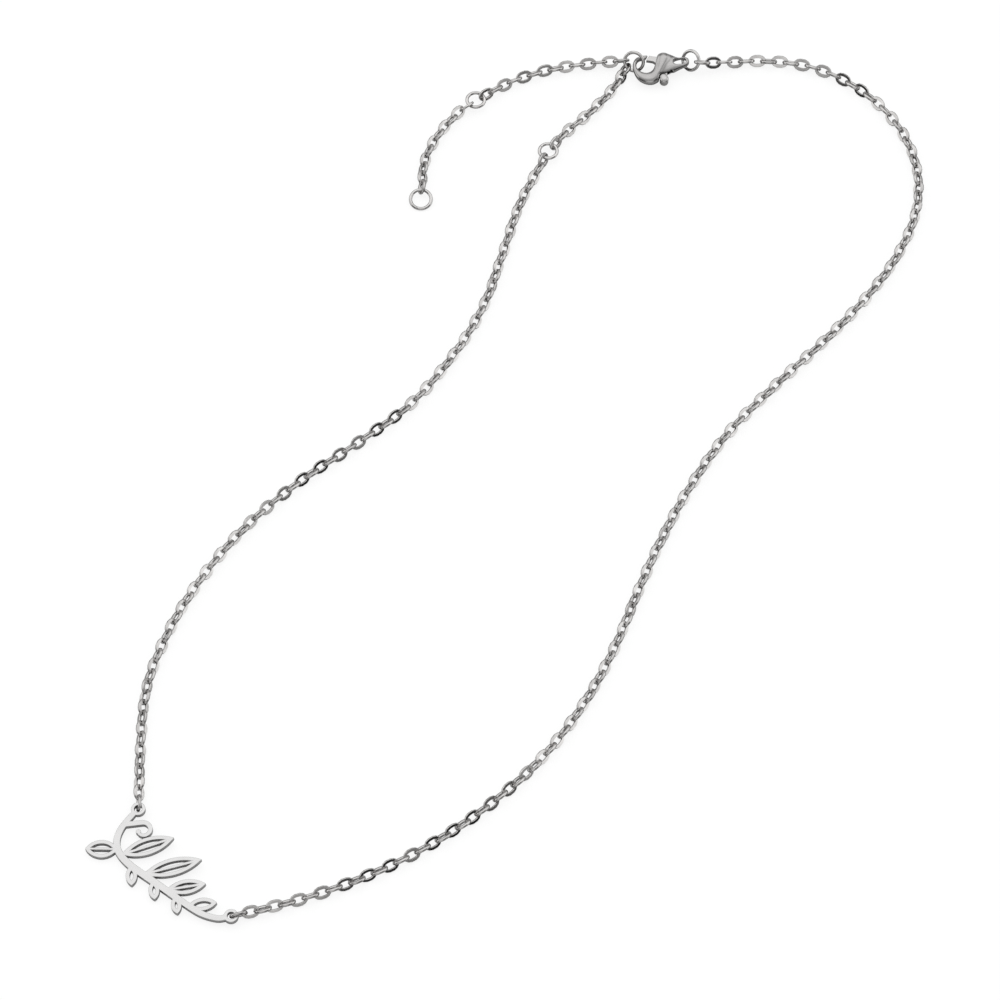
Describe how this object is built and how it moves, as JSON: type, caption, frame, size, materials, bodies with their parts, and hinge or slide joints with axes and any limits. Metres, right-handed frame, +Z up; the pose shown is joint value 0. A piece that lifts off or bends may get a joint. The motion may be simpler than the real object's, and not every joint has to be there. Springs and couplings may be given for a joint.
{
  "type": "nameplate necklace",
  "caption": "Cable chain necklace with a pierced vine plate between lengths of chain, closed by a lobster clasp on an adjustable end with rings.",
  "frame": {"origin": "on the table, below the middle of the necklace as it lies", "axes": "+Z up from the table, +Y from the plate's side of the loop to the clasp's side, +X to the right seen from the plate's side"},
  "size_m": [0.1449, 0.1779, 0.0037],
  "materials": {
    "plate": "satin face with polished edges",
    "chain": "polished steel wire",
    "ring": "polished steel wire",
    "clasp": "smooth cast steel"
  },
  "bodies": {
    "necklace": {"nameplate": "plate", "chain_left": "chain", "chain_right": "chain", "chain_adjuster": "chain", "chain_tail_inner": "chain", "chain_tail_outer": "chain", "ring_first": "ring", "ring_second": "ring", "ring_end": "ring", "ring_hook": "ring", "ring_tail": "ring", "clasp_body": "clasp"},
    "lever": {"clasp_lever": "clasp"}
  },
  "joints": [
    {"name": "clasp_lever_hinge", "type": "hinge", "parent": "necklace", "child": "lever", "pos_m": [0.02601, 0.08667, 0.00164], "axis": [0.0158, -0.1383, 0.9903], "range_deg": [0, 26], "stiffness_Nm_per_rad": 0.0002, "springref_deg": -17.19}
  ]
}
